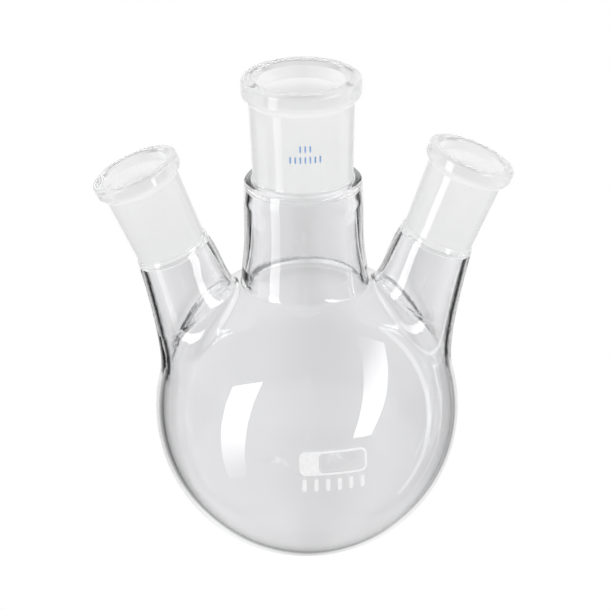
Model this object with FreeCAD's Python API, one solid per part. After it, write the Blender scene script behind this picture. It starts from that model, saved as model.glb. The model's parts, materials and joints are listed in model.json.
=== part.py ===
"""Three-neck round bottom flask, 250 ml, angled side necks.

Millimetres, +Z up, origin at the lowest point of the bulb. The side necks lean out to +X and -X.
Every neck has its own axis, which starts on the Z axis. A point of a neck is given by q, the
distance along that axis, and e, the distance from it: +e points away from the Z axis, -e to it.
"""
import FreeCAD, Part
import math
import os
from FreeCAD import Placement, Rotation, Vector

# Bulb: outer sphere, and an inner sphere that sits a little low and to one side, as blown glass does
BULB_RADIUS = 42.5
CAVITY_RADIUS = 40.8
CAVITY_SHIFT_X = 0.35
CAVITY_SHIFT_Z = -0.3

# Neck axes: the height where each one starts on the Z axis, its lean, and its length to the rim
FLASK_HEIGHT = 141.0
SIDE_AXIS_START = 2.7
SIDE_LEAN = 22.2
LEFT_REACH = 122.3
RIGHT_REACH = 123.3

# Ground sockets: 24/29 in the middle and 19/26 at the sides, taper 1:10 on the diameter
TAPER = 0.1
CENTRE_BORE = 24.0
CENTRE_GROUND_LENGTH = 29.0
CENTRE_LIP_DEPTH = 1.2
SIDE_BORE = 18.8
SIDE_GROUND_LENGTH = 26.0
SIDE_LIP_DEPTH = 0.8

# Neck tubes: outer radius and wall
CENTRE_TUBE_RADIUS = 16.45
CENTRE_TUBE_WALL = 2.0
SIDE_TUBE_RADIUS = 10.85
SIDE_TUBE_WALL = 1.5

# Depth below the rim where the lathe-shaped shoulder ends and the flared tube starts
CENTRE_FLARE_DEPTH = 45.5
SIDE_FLARE_DEPTH = 29.3

# Enamel prints: thickness, and line width of the panel's frame
PRINT_THICKNESS = 0.08
PANEL_WIDTH = 18.6
PANEL_HEIGHT = 7.0
PANEL_LINE = 0.6
PANEL_TAB_WIDTH = 4.6
PANEL_CORNER = 2.0
PANEL_FIELD_CORNER = 1.4
TICK_ROUNDING = 0.45  # corner radius over the tick's width
WHITE_TICKS = 6
WHITE_TICK_PITCH = 3.2
WHITE_TICK_SIZE = (1.1, 3.8)
BLUE_TICK_SIZE = (0.45, 1.9)
BLUE_TICK_PITCH = 1.35
BLUE_ROWS = ((3, 15.75), (7, 18.95))
BULB_PRINT_AZIMUTH = 7.6
PANEL_LATITUDE = 3.7
TICK_LATITUDE = -5.2
BLUE_PRINT_AZIMUTH = 1.0

SEW_TOLERANCE = 1e-4
QUARTER = math.sqrt(0.5)  # weight of the corner pole of a quarter of an ellipse
CORNERS = ((1, 0), (1, 1), (0, 1), (-1, 1), (-1, 0), (-1, -1), (0, -1), (1, -1), (1, 0))


class Ball:
    """A sphere, seen in a neck's frame."""

    def __init__(self, q, e, radius):
        self.q = q
        self.e = e
        self.radius = radius

    def point(self, angle):
        """A point of the sphere, at an angle in degrees from the neck's direction."""
        turn = math.radians(angle)
        return (self.q + self.radius * math.cos(turn), self.e + self.radius * math.sin(turn))


class Neck:
    """The frame of one neck, with its outer and inner bulb spheres."""

    def __init__(self, start, lean, reach):
        self.start = start
        self.lean = math.radians(lean)
        self.reach = reach
        self.axis = Vector(math.sin(self.lean), 0, math.cos(self.lean))
        self.out = Vector(math.cos(self.lean), 0, -math.sin(self.lean))
        if lean < 0:
            self.out = self.out * -1
        self.side = Vector(0, 1, 0)

    def place(self, q, e, y=0.0):
        """World position of a point in the neck's frame."""
        return Vector(0, 0, self.start) + self.axis * q + self.out * e + self.side * y

    def ball(self, x, z, radius):
        """A sphere with its centre in the XZ plane, in this neck's frame."""
        offset = Vector(x, 0, z - self.start)
        return Ball(offset.dot(self.axis), offset.dot(self.out), radius)

    def outer_ball(self):
        return self.ball(0, BULB_RADIUS, BULB_RADIUS)

    def inner_ball(self):
        return self.ball(CAVITY_SHIFT_X, BULB_RADIUS + CAVITY_SHIFT_Z, CAVITY_RADIUS)


# --- rows: closed ellipses across a neck, as nine poles with weights ---------------------------


def ellipse_row(neck, outer, inner, half_width):
    """The ellipse through two (q, e) points, with a half width across the XZ plane."""
    q, e = (outer[0] + inner[0]) / 2, (outer[1] + inner[1]) / 2
    dq, de = (outer[0] - inner[0]) / 2, (outer[1] - inner[1]) / 2
    poles = []
    for x, y in CORNERS:
        weight = QUARTER if x and y else 1.0
        poles.append((neck.place(q + dq * x, e + de * x, half_width * y), weight))
    return poles


def ring_row(neck, q, radius):
    """A circle round the neck's axis."""
    return ellipse_row(neck, (q, radius), (q, -radius), radius)


def onward_row(row_before, row, step):
    """The row that goes straight on from two others, by a share of the step between them."""
    return [(p + (p - b) * step, w) for (b, _), (p, w) in zip(row_before, row)]


def foot_row(neck, ball, outer_angle, inner_angle):
    """The circle on a sphere where a neck's flare ends."""
    half = math.radians(outer_angle - inner_angle) / 2
    radius = ball.radius * math.sin(half)
    return ellipse_row(neck, ball.point(outer_angle), ball.point(inner_angle), radius)


def tangent_row(neck, ball, outer_angle, inner_angle, outer_share, inner_share):
    """A slanted ellipse on the cone that touches the sphere along a foot circle.

    The shares say how far up the cone the row is, from the foot (0) to the cone's tip (1).
    """
    middle = math.radians(outer_angle + inner_angle) / 2
    half = math.radians(outer_angle - inner_angle) / 2
    height = ball.radius / math.cos(half)
    tip_q = ball.q + height * math.cos(middle)
    tip_e = ball.e + height * math.sin(middle)
    tip = neck.place(tip_q, tip_e)

    def along(angle, share):
        q, e = ball.point(angle)
        return neck.place(q + (tip_q - q) * share, e + (tip_e - e) * share)

    outer, inner = along(outer_angle, outer_share), along(inner_angle, inner_share)
    normal = (outer - inner).cross(neck.side)
    tip_height = (tip - outer).dot(normal)
    poles = []
    for pole, weight in foot_row(neck, ball, outer_angle, inner_angle):
        fall = (tip - pole).dot(normal) / tip_height
        poles.append((tip + (pole - tip) * (1 / fall), weight * fall))
    return poles


def flare_faces(rows):
    """The smooth tube skin shaped by four rows, as four quarter faces."""
    faces = []
    for first in range(0, 8, 2):
        poles = [[row[first + i][0] for row in rows] for i in range(3)]
        weights = [[row[first + i][1] for row in rows] for i in range(3)]
        surface = Part.BSplineSurface()
        surface.buildFromPolesMultsKnots(
            poles, [3, 3], [4, 4], [0, 1], [0, 1], False, False, 2, 3, weights
        )
        faces.append(surface.toShape())
    return faces


def row_wire(row):
    """A row as a closed wire of four quarter edges."""
    edges = []
    for first in range(0, 8, 2):
        curve = Part.BSplineCurve()
        quarter = row[first : first + 3]
        points = [pole for pole, _ in quarter]
        weights = [weight for _, weight in quarter]
        curve.buildFromPolesMultsKnots(points, [3, 3], [0, 1], False, 2, weights)
        edges.append(curve.toShape())
    return Part.Wire(edges)


def seal_face(outer_row, inner_row):
    """The flat glass ring between an outer and an inner row in one plane."""
    return Part.Face([row_wire(outer_row), row_wire(inner_row)])


# --- lathe shapes round a neck's axis ----------------------------------------------------------


def rounded_wire(neck, corners, closed):
    """A wire in the neck's plane through (radius, depth below the rim, corner radius) corners."""
    points = [neck.place(neck.reach - depth, radius) for radius, depth, _ in corners]
    count = len(points)
    edges = []
    ends = []
    for i, (point, (_, _, radius)) in enumerate(zip(points, corners)):
        if radius == 0 or (not closed and i in (0, count - 1)):
            ends.append((point, point))
            continue
        back = (points[i - 1] - point).normalize()
        ahead = (points[(i + 1) % count] - point).normalize()
        half = back.getAngle(ahead) / 2
        reach = radius / math.tan(half)
        middle = (back + ahead).normalize()
        centre = point + middle * (radius / math.sin(half))
        start, end = point + back * reach, point + ahead * reach
        edges.append(Part.Arc(start, centre - middle * radius, end).toShape())
        ends.append((start, end))
    for i in range(count if closed else count - 1):
        a, b = ends[i][1], ends[(i + 1) % count][0]
        if a.distanceToPoint(b) > SEW_TOLERANCE:
            edges.append(Part.makeLine(a, b))
    return Part.Wire(Part.__sortEdges__(edges))


def lathe_solid(neck, corners):
    """A solid of revolution round the neck's axis, from a closed outline."""
    face = Part.Face(rounded_wire(neck, corners, closed=True))
    solid = face.revolve(neck.place(0, 0), neck.axis, 360)
    return solid.Solids[0] if solid.Solids else Part.makeSolid(solid)


def lathe_faces(neck, corners):
    """Faces of revolution round the neck's axis, from an open outline."""
    wire = rounded_wire(neck, corners, closed=False)
    return wire.revolve(neck.place(0, 0), neck.axis, 360).Faces


def sewn_solid(faces):
    """One closed solid from faces that meet edge to edge."""
    shell = Part.makeShell(faces)
    shell.sewShape(SEW_TOLERANCE)
    shells = shell.Shells
    solid = Part.makeSolid(shells[0])
    solid.fix(SEW_TOLERANCE, SEW_TOLERANCE, SEW_TOLERANCE)
    if solid.Volume < 0:
        solid.reverse()
    return solid


# --- sockets -----------------------------------------------------------------------------------


def ground_radius(bore, lip_depth, depth):
    """Radius of the ground cone at a depth below the rim."""
    return (bore - (depth - lip_depth) * TAPER) / 2


# Outside of the sockets' barrels, as (radius, depth below the rim) at the top and at the bottom
CENTRE_BARREL = ((14.55, 6.8), (13.78, 28.85))
SIDE_BARREL = ((10.62, 5.5), (9.85, 24.95))

# Corners of the rim beads, as (radius, depth below the rim, rounding), from underneath to the mouth
CENTRE_BEAD = ((16.5, 4.6, 1.2), (16.5, 0, 1.36), (13.2, 0, 0.9))
SIDE_BEAD = ((12.4, 3.7, 1.0), (12.4, 0, 1.0), (10.2, 0, 0.7))

# Where a barrel meets the neck's shoulder: (radius, depth), and the lower end of the seal
CENTRE_COLLAR = (14.4, 29.05)
CENTRE_COLLAR_FOOT = (12.6, 31.3)
SIDE_COLLAR = (10.1, 25.2)
SIDE_COLLAR_FOOT = (8.75, 27.3)

# Corners of the neck's shoulders below the seal, outside and inside: (radius, depth, rounding)
CENTRE_SHOULDER = ((16.1, 29.5, 1.0), (CENTRE_TUBE_RADIUS, 33.5, 6.0))
CENTRE_BORE_SHOULDER = ((13.75, 32.2, 1.2), (CENTRE_TUBE_RADIUS - CENTRE_TUBE_WALL, 36.0, 5.0))
SIDE_SHOULDER = ((10.42, 26.3, 1.5),)
SIDE_BORE_SHOULDER = ((9.15, 27.6, 0.4),)


def centre_socket(neck):
    """Ground socket 24/29: rim bead, short lip, tapered ground bore, barrel and seal collar."""
    ground_end = CENTRE_LIP_DEPTH + CENTRE_GROUND_LENGTH
    outline = (
        (*CENTRE_BARREL[1], 0.6),
        (*CENTRE_BARREL[0], 0.9),
        *CENTRE_BEAD,
        (CENTRE_BORE / 2, CENTRE_LIP_DEPTH, 0),
        (ground_radius(CENTRE_BORE, CENTRE_LIP_DEPTH, ground_end), ground_end, 0),
        (*CENTRE_COLLAR_FOOT, 0),
        (*CENTRE_COLLAR, 0),
    )
    return lathe_solid(neck, outline)


def side_socket(neck):
    """Ground socket 19/26, shaped like the centre one."""
    ground_end = SIDE_LIP_DEPTH + SIDE_GROUND_LENGTH
    outline = (
        (*SIDE_BARREL[1], 0.4),
        (*SIDE_BARREL[0], 0.8),
        *SIDE_BEAD,
        (SIDE_BORE / 2, SIDE_LIP_DEPTH, 0),
        (ground_radius(SIDE_BORE, SIDE_LIP_DEPTH, ground_end), ground_end, 0),
        (*SIDE_COLLAR_FOOT, 0),
        (*SIDE_COLLAR, 0),
    )
    return lathe_solid(neck, outline)


# --- rows of the centre neck and the side necks ------------------------------------------------


class Rows:
    """The outer and inner rows of one neck, from the tube down to the bulb."""

    def __init__(self, outer_tube, outer_stub, inner_tube, inner_stub):
        self.outer_tube = outer_tube
        self.outer_stub = outer_stub
        self.inner_tube = inner_tube
        self.inner_stub = inner_stub


# Flare of the centre neck, row by row from the tube down: (height, widening of the tube).
# The last outer row is the seal to the bulb's stub; the inner stub has one row more.
CENTRE_SEAL_HEIGHT = 85.5
CENTRE_FLARE = ((92.0, 0.0), (88.8, 0.45), (CENTRE_SEAL_HEIGHT, 0.85))
CENTRE_BORE_FLARE = ((92.0, 0.0), (88.8, 0.4), (CENTRE_SEAL_HEIGHT, 0.85))
CENTRE_BORE_STUB = (83.0, 0.95)
CENTRE_STUB_STEP = 0.45

# Where the centre flare ends on the outer and on the inner sphere: the angle from the neck's
# axis, and how far up the touching cone the row before it is
CENTRE_FOOT = (25.3, 0.034)
CENTRE_INNER_FOOT = (23.8, 0.065)

# Flare of a side neck. Each row is an ellipse: its far and near (q, e) points and its half width.
SIDE_RING_DROP = 4.0
SIDE_RING_WIDENING = 0.57
SIDE_BORE_RING_WIDENING = 0.47
SIDE_FLARE = ((81.8, 12.58), (84.5, -10.78), 11.8)
SIDE_BORE_FLARE = ((81.8, 11.05), (84.4, -9.25), 10.25)
SIDE_SEAL = ((75.0, 14.2), (81.2, -11.5), 12.6)
SIDE_SEAL_BORE_SHARES = (0.068, 0.9375)
SIDE_SEAL_BORE_HALF_WIDTH = 11.0
SIDE_STUB_STEP = 0.4

# Where a side flare ends: the angles of its far and near points from the neck's axis, and how far
# up the touching cone the row before it is at each
SIDE_FOOT = (54.0, 3.4, 0.25, 0.04)
SIDE_INNER_FOOT = (52.5, 3.8, 0.25, 0.06)


def centre_rows(neck):
    """Rows of the centre neck: a straight tube that opens a little, then turns into the bulb."""
    flare = neck.reach - CENTRE_FLARE_DEPTH
    radius = CENTRE_TUBE_RADIUS
    bore = radius - CENTRE_TUBE_WALL
    tube = [ring_row(neck, flare, radius)]
    tube += [ring_row(neck, height, radius + wider) for height, wider in CENTRE_FLARE]
    ball, (angle, share) = neck.outer_ball(), CENTRE_FOOT
    stub = [
        tube[-1],
        onward_row(tube[-2], tube[-1], CENTRE_STUB_STEP),
        tangent_row(neck, ball, angle, -angle, share, share),
        foot_row(neck, ball, angle, -angle),
    ]
    inner_tube = [ring_row(neck, flare, bore)]
    inner_tube += [ring_row(neck, height, bore + wider) for height, wider in CENTRE_BORE_FLARE]
    ball, (angle, share) = neck.inner_ball(), CENTRE_INNER_FOOT
    stub_height, stub_wider = CENTRE_BORE_STUB
    inner_stub = [
        inner_tube[-1],
        ring_row(neck, stub_height, bore + stub_wider),
        tangent_row(neck, ball, angle, -angle, share, share),
        foot_row(neck, ball, angle, -angle),
    ]
    return Rows(tube, stub, inner_tube, inner_stub)


def between(a, b, share):
    """The (q, e) point a share of the way from a to b."""
    return (a[0] + (b[0] - a[0]) * share, a[1] + (b[1] - a[1]) * share)


def side_rows(neck):
    """Rows of a side neck: the tube widens most on its outer side, and the seal plane slants."""
    flare = neck.reach - SIDE_FLARE_DEPTH
    radius = SIDE_TUBE_RADIUS
    bore = radius - SIDE_TUBE_WALL
    below = flare - SIDE_RING_DROP
    tube = [
        ring_row(neck, flare, radius),
        ring_row(neck, below, radius + SIDE_RING_WIDENING),
        ellipse_row(neck, *SIDE_FLARE),
        ellipse_row(neck, *SIDE_SEAL),
    ]
    ball, (far, near, far_share, near_share) = neck.outer_ball(), SIDE_FOOT
    stub = [
        tube[-1],
        onward_row(tube[-2], tube[-1], SIDE_STUB_STEP),
        tangent_row(neck, ball, far, near, far_share, near_share),
        foot_row(neck, ball, far, near),
    ]
    seal_far, seal_near, _ = SIDE_SEAL
    bore_far, bore_near = (between(seal_far, seal_near, share) for share in SIDE_SEAL_BORE_SHARES)
    inner_tube = [
        ring_row(neck, flare, bore),
        ring_row(neck, below, bore + SIDE_BORE_RING_WIDENING),
        ellipse_row(neck, *SIDE_BORE_FLARE),
        ellipse_row(neck, bore_far, bore_near, SIDE_SEAL_BORE_HALF_WIDTH),
    ]
    ball, (far, near, far_share, near_share) = neck.inner_ball(), SIDE_INNER_FOOT
    inner_stub = [
        inner_tube[-1],
        onward_row(inner_tube[-2], inner_tube[-1], SIDE_STUB_STEP),
        tangent_row(neck, ball, far, near, far_share, near_share),
        foot_row(neck, ball, far, near),
    ]
    return Rows(tube, stub, inner_tube, inner_stub)


# --- neck tubes and the bulb -------------------------------------------------------------------


def neck_tube(neck, rows, outer_shoulder, inner_shoulder):
    """A neck tube: its lathe-shaped shoulder, its flared skin and the two seal faces."""
    collar = (inner_shoulder[0], outer_shoulder[0])
    faces = lathe_faces(neck, outer_shoulder)
    faces += lathe_faces(neck, inner_shoulder)
    faces += lathe_faces(neck, collar)
    faces += flare_faces(rows.outer_tube)
    faces += flare_faces(rows.inner_tube)
    faces.append(seal_face(rows.outer_tube[-1], rows.inner_tube[-1]))
    return sewn_solid(faces)


def centre_neck(neck, rows):
    """The centre neck tube, drawn in round the foot of the socket."""
    radius = CENTRE_TUBE_RADIUS
    bore = radius - CENTRE_TUBE_WALL
    outer = ((*CENTRE_COLLAR, 0), *CENTRE_SHOULDER, (radius, CENTRE_FLARE_DEPTH, 0))
    inner = ((*CENTRE_COLLAR_FOOT, 0), *CENTRE_BORE_SHOULDER, (bore, CENTRE_FLARE_DEPTH, 0))
    return neck_tube(neck, rows, outer, inner)


def side_neck(neck, rows):
    """A side neck tube, drawn in round the foot of its socket."""
    bore = SIDE_TUBE_RADIUS - SIDE_TUBE_WALL
    outer = ((*SIDE_COLLAR, 0), *SIDE_SHOULDER, (SIDE_TUBE_RADIUS, SIDE_FLARE_DEPTH, 0))
    inner = ((*SIDE_COLLAR_FOOT, 0), *SIDE_BORE_SHOULDER, (bore, SIDE_FLARE_DEPTH, 0))
    return neck_tube(neck, rows, outer, inner)


def holed_sphere(centre, radius, feet):
    """The face of a sphere with a round hole at each foot circle."""
    ball = Part.makeSphere(radius, centre)
    for foot in feet:
        corners = [pole for pole, _ in foot[:8]]
        middle = (corners[0] + corners[4]) * 0.5
        outward = (middle - centre).normalize()
        cap = Part.makeCylinder(radius, radius, middle, outward)
        ball = ball.cut(cap)
    return max(ball.Faces, key=lambda face: face.Area)


def bulb(all_rows):
    """The blown bulb, with a short stub under each neck."""
    outer_centre = Vector(0, 0, BULB_RADIUS)
    inner_centre = outer_centre + Vector(CAVITY_SHIFT_X, 0, CAVITY_SHIFT_Z)
    faces = [
        holed_sphere(outer_centre, BULB_RADIUS, [rows.outer_stub[-1] for rows in all_rows]),
        holed_sphere(inner_centre, CAVITY_RADIUS, [rows.inner_stub[-1] for rows in all_rows]),
    ]
    for rows in all_rows:
        faces += flare_faces(rows.outer_stub)
        faces += flare_faces(rows.inner_stub)
        faces.append(seal_face(rows.outer_stub[0], rows.inner_stub[0]))
    return sewn_solid(faces)


# --- enamel prints -----------------------------------------------------------------------------


def rounded_bar(width, height, corner, middle_x=0.0, middle_y=0.0):
    """A flat bar with rounded corners, in the XY plane."""
    left, right = middle_x - width / 2, middle_x + width / 2
    low, high = middle_y - height / 2, middle_y + height / 2
    inside = ((right - corner, high - corner), (left + corner, high - corner))
    inside += ((left + corner, low + corner), (right - corner, low + corner))
    edges = []
    for turn, (x, y) in enumerate(inside):
        circle = Part.Circle(Vector(x, y, 0), Vector(0, 0, 1), corner)
        start = turn * math.pi / 2
        edges.append(Part.Arc(circle, start, start + math.pi / 2).toShape())
    for turn, edge in enumerate(list(edges)):
        after = edges[(turn + 1) % 4]
        edges.append(Part.makeLine(edge.lastVertex().Point, after.firstVertex().Point))
    return Part.Face(Part.Wire(Part.__sortEdges__(edges)))


def stamped(outline, skin, centre, azimuth, latitude):
    """A flat outline pushed out from a centre onto a thin skin, as separate solids.

    The azimuth turns from -Y to +X, and the latitude tips the outline up or down.
    """
    turn = Rotation(Vector(0, 0, 1), azimuth)
    tip = Rotation(Vector(1, 0, 0), 90 - latitude)
    face = outline.copy()
    face.Placement = Placement(centre, turn * tip)
    normal = turn.multVec(tip.multVec(Vector(0, 0, 1)))
    prism = face.extrude(normal * (BULB_RADIUS * 1.2))
    return prism.common(skin).Solids


def bulb_skin():
    """The thin layer of enamel on the bulb, before it is cut to the print's outline."""
    centre = Vector(0, 0, BULB_RADIUS)
    outer = Part.makeSphere(BULB_RADIUS + PRINT_THICKNESS, centre)
    return outer.cut(Part.makeSphere(BULB_RADIUS, centre))


def tick_row(count, pitch, size, middle_y=0.0):
    """A row of equal upright bars."""
    width, height = size
    corner = width * TICK_ROUNDING
    first = -pitch * (count - 1) / 2
    return [rounded_bar(width, height, corner, first + pitch * i, middle_y) for i in range(count)]


def white_panel_print():
    """A rounded frame with a filled tab at its left end: a plain write-on panel."""
    frame = rounded_bar(PANEL_WIDTH, PANEL_HEIGHT, PANEL_CORNER)
    field_width = PANEL_WIDTH - PANEL_LINE * 2 - PANEL_TAB_WIDTH
    field_height = PANEL_HEIGHT - PANEL_LINE * 2
    field_middle = PANEL_TAB_WIDTH / 2
    field = rounded_bar(field_width, field_height, PANEL_FIELD_CORNER, field_middle)
    outline = frame.cut(field)
    centre = Vector(0, 0, BULB_RADIUS)
    return stamped(outline, bulb_skin(), centre, BULB_PRINT_AZIMUTH, PANEL_LATITUDE)[0]


def white_scale_print():
    """Six equal ticks under the panel."""
    skin = bulb_skin()
    centre = Vector(0, 0, BULB_RADIUS)
    solids = []
    for tick in tick_row(WHITE_TICKS, WHITE_TICK_PITCH, WHITE_TICK_SIZE):
        solids += stamped(tick, skin, centre, BULB_PRINT_AZIMUTH, TICK_LATITUDE)
    return Part.makeCompound(solids)


def blue_joint_print(neck):
    """Two rows of small ticks on the barrel of the centre socket."""
    (top_radius, top), (bottom_radius, bottom) = CENTRE_BARREL
    skin_outline = (
        (top_radius, top, 0),
        (bottom_radius, bottom, 0),
        (bottom_radius + PRINT_THICKNESS, bottom, 0),
        (top_radius + PRINT_THICKNESS, top, 0),
    )
    skin = lathe_solid(neck, skin_outline)
    solids = []
    for count, depth in BLUE_ROWS:
        centre = neck.place(neck.reach - depth, 0)
        for tick in tick_row(count, BLUE_TICK_PITCH, BLUE_TICK_SIZE):
            solids += stamped(tick, skin, centre, BLUE_PRINT_AZIMUTH, 0)
    return Part.makeCompound(solids)


def main():
    centre = Neck(0, 0, FLASK_HEIGHT)
    left = Neck(SIDE_AXIS_START, -SIDE_LEAN, LEFT_REACH)
    right = Neck(SIDE_AXIS_START, SIDE_LEAN, RIGHT_REACH)
    rows = {"centre": centre_rows(centre), "left": side_rows(left), "right": side_rows(right)}
    shapes = {
        "bulb": bulb(list(rows.values())),
        "centre_neck": centre_neck(centre, rows["centre"]),
        "left_neck": side_neck(left, rows["left"]),
        "right_neck": side_neck(right, rows["right"]),
        "centre_socket": centre_socket(centre),
        "left_socket": side_socket(left),
        "right_socket": side_socket(right),
        "white_panel_print": white_panel_print(),
        "white_scale_print": white_scale_print(),
        "blue_joint_print": blue_joint_print(centre),
    }
    os.makedirs("parts", exist_ok=True)
    for name, shape in shapes.items():
        shape.exportStep(f"parts/{name}.step")
        print(name, shape.ShapeType, len(shape.Solids), shape.isValid(), round(shape.Volume, 2))


main()
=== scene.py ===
import bpy
import json
import math
from mathutils import Matrix, Vector
from mathutils.bvhtree import BVHTree

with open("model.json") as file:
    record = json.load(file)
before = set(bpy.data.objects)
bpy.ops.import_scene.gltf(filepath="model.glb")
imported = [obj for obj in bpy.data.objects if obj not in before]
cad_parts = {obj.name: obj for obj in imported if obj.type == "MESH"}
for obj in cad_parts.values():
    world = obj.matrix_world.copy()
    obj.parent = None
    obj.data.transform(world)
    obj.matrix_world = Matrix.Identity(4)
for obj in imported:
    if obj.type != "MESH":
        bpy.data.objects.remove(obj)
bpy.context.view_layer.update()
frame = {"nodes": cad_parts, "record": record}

# Camera: where it looks, how far away it is, and its turn, tilt and roll
TARGET = Vector((0.0, 0.0, 0.072))
CAMERA_DISTANCE = 0.9
CAMERA_AZIMUTH = -1.9
CAMERA_ELEVATION = 24.1
CAMERA_ROLL = -1.0
CAMERA_LENS = 190.8
SENSOR = 36.0
CAMERA_SHIFT = (-0.0005, 0.0073)
CAMERA_CLIP = (0.05, 20.0)

# What the glass sees around it, as brightness stops. The bright sweep goes by the sideways slope
# and the rise, each scaled into the ramp. The rest goes by the direction's own height or depth.
SIDE_SCALE = 0.5
RISE_SCALE, RISE_OFFSET = 0.25, 0.75
LEAST_AHEAD = 0.02
SWEEP_SIDE = ((0.0, 0.76), (0.02, 0.85), (0.08, 1.02), (0.20, 1.02), (0.30, 0.42), (0.42, 0.02))
SWEEP_NEAR = ((0.38, 0.1), (0.54, 1.0))
MIRROR_BEHIND = ((0.0, 0.06), (0.45, 0.9))
SKY = ((0.0, 0.02), (0.25, 0.6), (0.6, 0.9))
GROUND = ((0.55, 0.0), (0.85, 0.32), (1.0, 0.6))

# Lights that show only as reflections: corners in metres, strength, and brightness over the height
BOX_STRENGTH = 8.0
BOX_HEIGHT_SCALE, BOX_HEIGHT_OFFSET = 0.33, 0.5
STRIP_FADE = ((0.2, 0.5), (0.5, 1.0))
SOFT_BOXES = {
    "left_box": (
        ((-1.0, -0.42, -0.75), (-1.0, -0.85, -0.75), (-1.0, -1.05, 1.15), (-1.0, -0.42, 0.55)),
        BOX_STRENGTH,
        ((0.26, 0.12), (0.55, 1.0)),
    ),
    "right_box": (
        ((1.0, -1.68, -0.05), (1.0, -1.02, -0.05), (1.0, 0.08, 0.85), (1.0, -0.1, 1.6)),
        BOX_STRENGTH,
        ((0.66, 1.0), (0.92, 0.1)),
    ),
    "right_strip": (
        ((1.0, -0.02, -1.1), (1.0, 0.08, -1.1), (1.0, 0.38, 1.0), (1.0, 0.28, 1.0)),
        2.6,
        STRIP_FADE,
    ),
    "far_right_strip": (
        ((1.0, 0.35, -1.1), (1.0, 0.40, -1.1), (1.0, 0.72, 1.0), (1.0, 0.66, 1.0)),
        1.3,
        STRIP_FADE,
    ),
}
FLOOR_REACH = 6.0
WHITE = (1, 1, 1, 1)

# Glass. A ray mirrored more often than TRAPPED_AFTER is caught in the wall and is let out.
GLASS_IOR = 1.474
CLEAR_TINT = (0.95, 0.955, 0.955, 1)
BEAD_TINT = (0.97, 0.97, 0.97, 1)
FROST_TINT = (0.98, 0.98, 0.98, 1)
TRAPPED_AFTER = 1.5
MIRRORED_ONCE = 0.5
MILKINESS = 0.3
MIRRORED_MILKINESS = 0.95

# Frost: its depth below the rim and the width of its edge in metres, how much of it is skin, how
# much it lets straight through, and the painted shade that darkens it deeper down the bore
FROST_START = {"centre_socket": 0.0033, "left_socket": 0.0026, "right_socket": 0.0026}
FROST_EDGE = 0.0005
FROST_SKIN = 0.35
FROST_CLEAR = 0.1
FROST_CLEAR_TO_LIGHT = 0.8
GROUND_SPAN = 0.03
# painted shade: brightness of the frost by depth down the bore, as a share of GROUND_SPAN
BORE_PAINTED_SHADE = ((0.13, 1.0), (0.24, 0.85), (1.0, 0.8))

# Enamel: darkest and lightest colour, and cover
WHITE_ENAMEL = ((0.93, 0.93, 0.94), (1.0, 1.0, 1.0), 0.9)
BLUE_ENAMEL = ((0.20, 0.38, 0.70), (0.30, 0.50, 0.82), 0.85)
ENAMEL_ROUGHNESS = 0.4

# The noise node's usual spread, stretched to the whole range
NOISE_LOW, NOISE_HIGH = 0.3, 0.7

# Sorting of faces: gap and angle of a contact, slope of the ground cones, and material slots
CONTACT_GAP = 4e-5
FACING_AWAY = -0.9
FACING_AXIS = -0.99
CONE_SLOPE = (0.03, 0.07)
SKIN, SEAL, FROSTED = 0, 1, 2

GLASS_NODES = (
    "bulb",
    "centre_neck",
    "left_neck",
    "right_neck",
    "centre_socket",
    "left_socket",
    "right_socket",
)
SOCKET_MOUNTS = {
    "centre_socket": "centre_socket_24_29",
    "left_socket": "left_socket_19_26",
    "right_socket": "right_socket_19_26",
}
MOUNTS = {mount["name"]: mount for mount in frame["record"]["mounts"]}


# --- small helpers for node trees ----------------------------------------------------------------


class Tree:
    """A material's or world's node tree, emptied."""

    def __init__(self, owner):
        owner.use_nodes = True
        self.nodes = owner.node_tree.nodes
        self.links = owner.node_tree.links
        self.nodes.clear()

    def add(self, kind, settings=None, **inputs):
        """A node with its settings, and its inputs by name: a value or another node's output."""
        node = self.nodes.new(kind)
        for name, value in (settings or {}).items():
            setattr(node, name, value)
        for name, value in inputs.items():
            self.put(node, name.replace("_", " "), value)
        return node

    def put(self, node, name, value):
        socket = node.inputs[name] if isinstance(name, int) else find_input(node, name)
        if isinstance(value, bpy.types.NodeSocket):
            self.links.new(value, socket)
        else:
            socket.default_value = value

    def math(self, operation, a, b=0.0, clamp=False):
        node = self.nodes.new("ShaderNodeMath")
        node.operation = operation
        node.use_clamp = clamp
        self.put(node, 0, a)
        self.put(node, 1, b)
        return node.outputs[0]

    def ramp(self, factor, stops):
        node = self.nodes.new("ShaderNodeValToRGB")
        node.color_ramp.interpolation = "EASE"
        while len(node.color_ramp.elements) < len(stops):
            node.color_ramp.elements.new(0.5)
        for element, (place, value) in zip(node.color_ramp.elements, stops):
            element.position = place
            element.color = (value, value, value, 1)
        self.put(node, 0, factor)
        return node.outputs["Color"]

    def grey(self, tone):
        return self.add("ShaderNodeCombineColor", Red=tone, Green=tone, Blue=tone).outputs[0]

    def transparent(self, tint):
        return self.add("ShaderNodeBsdfTransparent", Color=tint).outputs[0]

    def mix_shader(self, factor, a, b):
        node = self.nodes.new("ShaderNodeMixShader")
        self.put(node, 0, factor)
        self.links.new(a, node.inputs[1])
        self.links.new(b, node.inputs[2])
        return node.outputs[0]

    def finish(self, kind, shader):
        output = self.nodes.new(kind)
        self.links.new(shader, output.inputs["Surface"])


def find_input(node, name):
    for socket in node.inputs:
        if socket.name.lower() == name.lower():
            return socket
    raise KeyError(name)


def new_material(name):
    material = bpy.data.materials.new(name)
    return material, Tree(material)


def stage_card(name, corners):
    """A four-cornered sheet that belongs to the studio."""
    mesh = bpy.data.meshes.new(name)
    mesh.from_pydata(corners, [], [(0, 1, 2, 3)])
    card = bpy.data.objects.new(name, mesh)
    bpy.context.scene.collection.objects.link(card)
    return card


def dress(name, material):
    """Gives a node one material."""
    node = frame["nodes"][name]
    node.data.materials.clear()
    node.data.materials.append(material)


# --- materials -----------------------------------------------------------------------------------


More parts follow.
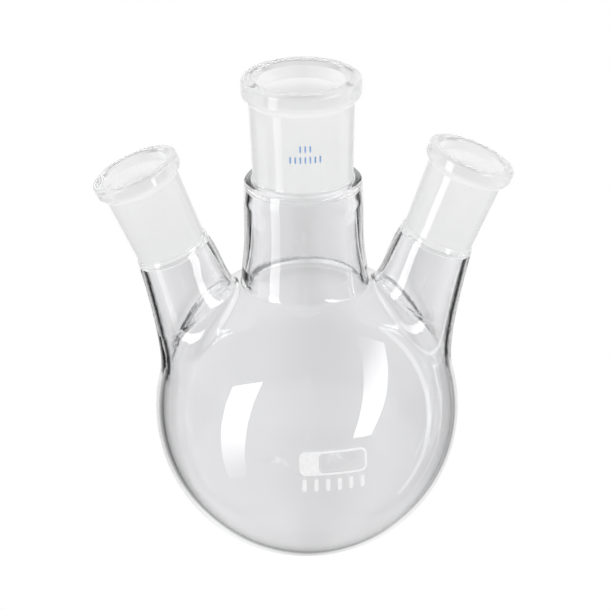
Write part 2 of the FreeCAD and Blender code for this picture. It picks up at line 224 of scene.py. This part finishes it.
def trapped(tree, path):
    """1 once a ray has been mirrored so often that it is caught inside the wall."""
    return tree.math("GREATER_THAN", path.outputs["Glossy Depth"], TRAPPED_AFTER)


def carrying_light(tree, path):
    """1 for rays that only carry light to other surfaces, 0 for the others."""
    return tree.math("MAXIMUM", path.outputs["Is Shadow Ray"], path.outputs["Is Diffuse Ray"])


def pass_through(tree, path):
    """1 for rays that the glass lets straight through: light carriers and trapped rays."""
    return tree.math("MAXIMUM", carrying_light(tree, path), trapped(tree, path))


def fine_noise(tree, scale, detail, low, high):
    """Slow procedural variation between two values."""
    place = tree.add("ShaderNodeTexCoord").outputs["Object"]
    noise = tree.add("ShaderNodeTexNoise", Vector=place, Scale=scale, Detail=detail)
    spread = tree.add("ShaderNodeMapRange", Value=noise.outputs["Fac"])
    tree.put(spread, "From Min", NOISE_LOW)
    tree.put(spread, "From Max", NOISE_HIGH)
    tree.put(spread, "To Min", low)
    tree.put(spread, "To Max", high)
    return spread.outputs["Result"]


def polished(tree, colour, **extra):
    """Smooth refracting glass."""
    glass = tree.add(
        "ShaderNodeBsdfPrincipled", Base_Color=colour, Roughness=0.0, IOR=GLASS_IOR, **extra
    )
    tree.put(glass, "Transmission Weight", 1.0)
    return glass.outputs[0]


def clear_glass():
    """The bulb and the necks: clear, with a faint tint and slow ripples."""
    material, tree = new_material("clear_glass")
    path = tree.add("ShaderNodeLightPath")
    height = fine_noise(tree, 38.0, 1.0, 0.0, 1.0)
    bump = tree.add("ShaderNodeBump", Height=height, Strength=0.02, Distance=0.0006)
    tint = tree.add(
        "ShaderNodeCombineColor",
        Red=fine_noise(tree, 30.0, 2.0, 0.970, 0.978),
        Green=fine_noise(tree, 30.0, 2.0, 0.970, 0.978),
        Blue=fine_noise(tree, 30.0, 2.0, 0.978, 0.986),
    )
    glass = polished(tree, tint.outputs[0], Normal=bump.outputs[0])
    shader = tree.mix_shader(pass_through(tree, path), glass, tree.transparent(CLEAR_TINT))
    tree.finish("ShaderNodeOutputMaterial", shader)
    return material


def bead_shader(tree, path):
    """The sockets' fire-polished outside: glass with a little of the milky light behind it."""
    colour = tree.grey(fine_noise(tree, 120.0, 4.0, 0.975, 0.99))
    glass = polished(tree, colour)
    glow = tree.add("ShaderNodeBsdfTranslucent", Color=colour)
    mirrored = tree.math("GREATER_THAN", path.outputs["Glossy Depth"], MIRRORED_ONCE)
    share = tree.math("MULTIPLY", mirrored, MIRRORED_MILKINESS)
    share = tree.math("MAXIMUM", share, MILKINESS)
    return tree.mix_shader(share, glass, glow.outputs[0])


def bead_glass():
    """The outside of a socket with its bead."""
    material, tree = new_material("bead_glass")
    path = tree.add("ShaderNodeLightPath")
    clear = tree.transparent(BEAD_TINT)
    shader = tree.mix_shader(pass_through(tree, path), bead_shader(tree, path), clear)
    tree.finish("ShaderNodeOutputMaterial", shader)
    return material


def depth_below(tree, mount):
    """Depth below the rim's plane, in metres, along the axis of a mount."""
    place = tree.add("ShaderNodeTexCoord").outputs["Object"]
    axis = Vector(mount["axis"]).normalized()
    along = tree.add("ShaderNodeVectorMath", {"operation": "DOT_PRODUCT"})
    tree.put(along, 0, place)
    tree.put(along, 1, tuple(axis))
    top = Vector(mount["pos_m"]).dot(axis)
    return tree.math("SUBTRACT", top, along.outputs["Value"])


def frosted_glass(name, mount, start):
    """The ground inner cone of a socket: fine and milky below its clear lip. Its colour has
    painted shade, darker deeper down the bore, on the side that faces into the bore.
    """
    material, tree = new_material(name)
    path = tree.add("ShaderNodeLightPath")
    grain = fine_noise(tree, 2600.0, 3.0, 0.0, 1.0)
    bump = tree.add("ShaderNodeBump", Height=grain, Strength=0.12, Distance=0.00005)
    depth = depth_below(tree, mount)
    # painted shade: the frost's white falls to 0.8 deeper down the bore; faces seen from behind
    # keep full white
    inside = tree.ramp(tree.math("MULTIPLY", depth, 1 / GROUND_SPAN), BORE_PAINTED_SHADE)
    seen_from = tree.add("ShaderNodeNewGeometry").outputs["Backfacing"]
    tone = tree.math("MAXIMUM", seen_from, inside)
    tone = tree.math("MULTIPLY", tone, fine_noise(tree, 160.0, 4.0, 0.97, 0.995))
    # the frost's colour: painted shade times a slight random grain of tone
    white = tree.grey(tone)
    through = tree.add("ShaderNodeBsdfTranslucent", Color=white, Normal=bump.outputs[0])
    skin = tree.add("ShaderNodeBsdfDiffuse", Color=white, Normal=bump.outputs[0])
    body = tree.mix_shader(FROST_SKIN, through.outputs[0], skin.outputs[0])
    clear = tree.transparent(FROST_TINT)
    share = tree.math("MULTIPLY", carrying_light(tree, path), FROST_CLEAR_TO_LIGHT)
    body = tree.mix_shader(tree.math("ADD", share, FROST_CLEAR), body, clear)
    edge = tree.math("MULTIPLY", tree.math("SUBTRACT", depth, start), 1 / FROST_EDGE, clamp=True)
    lip = tree.mix_shader(pass_through(tree, path), bead_shader(tree, path), clear)
    tree.finish("ShaderNodeOutputMaterial", tree.mix_shader(edge, lip, body))
    return material


def fused_seal():
    """A contact face between two glass pieces: the glass is one there, so it isn't seen."""
    material, tree = new_material("fused_seal")
    tint = tree.grey(fine_noise(tree, 60.0, 2.0, 0.995, 1.0))
    tree.finish("ShaderNodeOutputMaterial", tree.transparent(tint))
    return material


def enamel(name, low, high, cover):
    """Fired enamel: slightly uneven in colour, satin skin, with a little of the glass showing."""
    material, tree = new_material(name)
    blend = fine_noise(tree, 900.0, 4.0, 0.0, 1.0)
    colour = tree.add("ShaderNodeMix", {"data_type": "RGBA"})
    tree.put(colour, 0, blend)
    tree.put(colour, 6, (*low, 1))  # inputs 6 and 7 and output 2 are the colour ones
    tree.put(colour, 7, (*high, 1))
    skin = tree.add(
        "ShaderNodeBsdfPrincipled", Base_Color=colour.outputs[2], Roughness=ENAMEL_ROUGHNESS
    )
    shader = tree.mix_shader(cover, tree.transparent(WHITE), skin.outputs[0])
    tree.finish("ShaderNodeOutputMaterial", shader)
    return material


# --- which faces are seals, ground cones or plain glass ------------------------------------------


def contact_faces(node, others):
    """Numbers of the faces that lie against another glass piece."""
    found = set()
    for polygon in node.data.polygons:
        for tree in others:
            spot, normal, _, _ = tree.find_nearest(polygon.center, CONTACT_GAP)
            if spot is not None and normal.dot(polygon.normal) < FACING_AWAY:
                found.add(polygon.index)
                break
    return found


def ground_faces(node, mount):
    """Numbers of the faces of the tapered bore round a mount's axis."""
    origin = Vector(mount["pos_m"])
    axis = Vector(mount["axis"]).normalized()
    low, high = CONE_SLOPE
    found = set()
    for polygon in node.data.polygons:
        offset = polygon.center - origin
        along = offset.dot(axis)
        outward = (offset - axis * along).normalized()
        faces_in = polygon.normal.dot(outward) < FACING_AXIS
        tapered = low < polygon.normal.dot(axis) < high
        if faces_in and tapered:
            found.add(polygon.index)
    return found


def dress_glass():
    """Gives every face of the glass nodes its material."""
    clear, bead, seal = clear_glass(), bead_glass(), fused_seal()
    nodes = {name: frame["nodes"][name] for name in GLASS_NODES}
    trees = {}
    for name, node in nodes.items():
        corners = [vertex.co for vertex in node.data.vertices]
        polygons = [polygon.vertices for polygon in node.data.polygons]
        trees[name] = BVHTree.FromPolygons(corners, polygons)
    for name, node in nodes.items():
        node.data.materials.clear()
        slots = [SKIN] * len(node.data.polygons)
        if name in SOCKET_MOUNTS:
            mount = MOUNTS[SOCKET_MOUNTS[name]]
            frosted = frosted_glass(name + "_ground", mount, FROST_START[name])
            materials = (bead, seal, frosted)
            for index in ground_faces(node, mount):
                slots[index] = FROSTED
        else:
            materials = (clear, seal)
        for material in materials:
            node.data.materials.append(material)
        others = [tree for other, tree in trees.items() if other != name]
        for index in contact_faces(node, others):
            slots[index] = SEAL
        node.data.polygons.foreach_set("material_index", slots)


def dress_prints():
    """Gives the three enamel prints their colours."""
    white = enamel("white_enamel", *WHITE_ENAMEL)
    blue = enamel("blue_enamel", *BLUE_ENAMEL)
    dress("white_panel_print", white)
    dress("white_scale_print", white)
    dress("blue_joint_print", blue)


# --- studio --------------------------------------------------------------------------------------


def floor():
    """A plain pale floor, wide enough to be the whole background."""
    far = FLOOR_REACH
    card = stage_card("floor", [(-far, -far, 0), (far, -far, 0), (far, far, 0), (-far, far, 0)])
    material, tree = new_material("floor")
    white = tree.add("ShaderNodeEmission", Color=WHITE, Strength=1.0)
    tree.finish("ShaderNodeOutputMaterial", white.outputs[0])
    card.data.materials.append(material)
    card.visible_glossy = False
    card.visible_transmission = False


def studio_axes(tree):
    """The way a ray goes, on axes that turn with the camera: to its right, away from it and up.

    Up is the world's up in the scene's own view, and it tilts along in any other view. So the
    sweep is always behind the flask.
    """
    way = tree.add("ShaderNodeTexCoord").outputs["Generated"]
    spaces = {"vector_type": "VECTOR", "convert_from": "WORLD", "convert_to": "CAMERA"}
    turn = tree.add("ShaderNodeVectorTransform", spaces, Vector=way)
    split = tree.add("ShaderNodeSeparateXYZ", Vector=turn.outputs[0])
    right, lift, depth = (split.outputs[axis] for axis in "XYZ")
    tilt = math.radians(CAMERA_ELEVATION)
    low, high = math.sin(tilt), math.cos(tilt)
    away = tree.math("ADD", tree.math("MULTIPLY", depth, high), tree.math("MULTIPLY", lift, low))
    up = tree.math(
        "SUBTRACT", tree.math("MULTIPLY", lift, high), tree.math("MULTIPLY", depth, low)
    )
    return right, away, up


def studio_world():
    """White to the camera. To the glass, a white sweep behind it with dark room on both sides."""
    world = bpy.data.worlds.new("studio")
    bpy.context.scene.world = world
    tree = Tree(world)
    path = tree.add("ShaderNodeLightPath")
    right, away, up = studio_axes(tree)
    ahead = tree.math("MAXIMUM", away, LEAST_AHEAD)
    aside = tree.math("DIVIDE", tree.math("ABSOLUTE", right), ahead)
    rise = tree.math("DIVIDE", up, ahead)
    narrow = tree.ramp(tree.math("MULTIPLY", aside, SIDE_SCALE), SWEEP_SIDE)
    level = tree.math("ADD", tree.math("MULTIPLY", rise, RISE_SCALE), RISE_OFFSET)
    sweep = tree.math("MULTIPLY", narrow, tree.ramp(level, SWEEP_NEAR))
    above = tree.ramp(up, SKY)
    below = tree.ramp(tree.math("MULTIPLY", up, -1.0), GROUND)
    light = tree.math("MAXIMUM", sweep, tree.math("MAXIMUM", above, below))
    behind = tree.math("MULTIPLY", light, tree.ramp(away, MIRROR_BEHIND))
    through, mirrored, white = (
        tree.add("ShaderNodeBackground", Color=colour, Strength=1.0).outputs[0]
        for colour in (light, behind, WHITE)
    )
    # a refracted ray counts as glossy too, so its own light comes after the mirrored one
    shader = tree.mix_shader(path.outputs["Is Glossy Ray"], white, mirrored)
    refracted = tree.math("MAXIMUM", path.outputs["Is Transmission Ray"], trapped(tree, path))
    shader = tree.mix_shader(refracted, shader, through)
    shader = tree.mix_shader(path.outputs["Is Diffuse Ray"], shader, white)
    shader = tree.mix_shader(path.outputs["Is Camera Ray"], shader, white)
    tree.finish("ShaderNodeOutputWorld", shader)


def soft_box(name, corners, strength, fade):
    """A glowing card that shows only as a reflection in the glass; it fades with its height."""
    card = stage_card(name, corners)
    material, tree = new_material(name)
    place = tree.add("ShaderNodeNewGeometry").outputs["Position"]
    height = tree.add("ShaderNodeSeparateXYZ", Vector=place).outputs["Z"]
    level = tree.math("ADD", tree.math("MULTIPLY", height, BOX_HEIGHT_SCALE), BOX_HEIGHT_OFFSET)
    glow = tree.add("ShaderNodeEmission", Color=tree.ramp(level, fade), Strength=strength)
    tree.finish("ShaderNodeOutputMaterial", glow.outputs[0])
    card.data.materials.append(material)
    card.visible_camera = False
    card.visible_diffuse = False
    card.visible_transmission = False
    card.visible_shadow = False


def camera():
    """Looks at the flask from in front and a little above."""
    turn, tilt = math.radians(CAMERA_AZIMUTH), math.radians(CAMERA_ELEVATION)
    back = Vector(
        (math.sin(turn) * math.cos(tilt), -math.cos(turn) * math.cos(tilt), math.sin(tilt))
    )
    data = bpy.data.cameras.new("camera")
    data.lens = CAMERA_LENS
    data.sensor_width = SENSOR
    data.shift_x, data.shift_y = CAMERA_SHIFT
    data.clip_start, data.clip_end = CAMERA_CLIP
    eye = bpy.data.objects.new("camera", data)
    bpy.context.scene.collection.objects.link(eye)
    aim = (-back).to_track_quat("-Z", "Y").to_matrix().to_4x4()
    roll = Matrix.Rotation(math.radians(CAMERA_ROLL), 4, "Z")
    eye.matrix_world = Matrix.Translation(TARGET + back * CAMERA_DISTANCE) @ aim @ roll
    bpy.context.scene.camera = eye


def studio():
    floor()
    studio_world()
    for name, (corners, strength, fade) in SOFT_BOXES.items():
        soft_box(name, corners, strength, fade)


def render_look():
    """Enough bounces to see through every wall of the flask."""
    scene = bpy.context.scene
    scene.view_settings.view_transform = "Standard"
    scene.cycles.max_bounces = 24
    scene.cycles.transmission_bounces = 20
    scene.cycles.glossy_bounces = 8
    scene.cycles.diffuse_bounces = 4
    scene.cycles.transparent_max_bounces = 32
    scene.cycles.use_denoising = True


dress_glass()
dress_prints()
studio()
camera()
render_look()
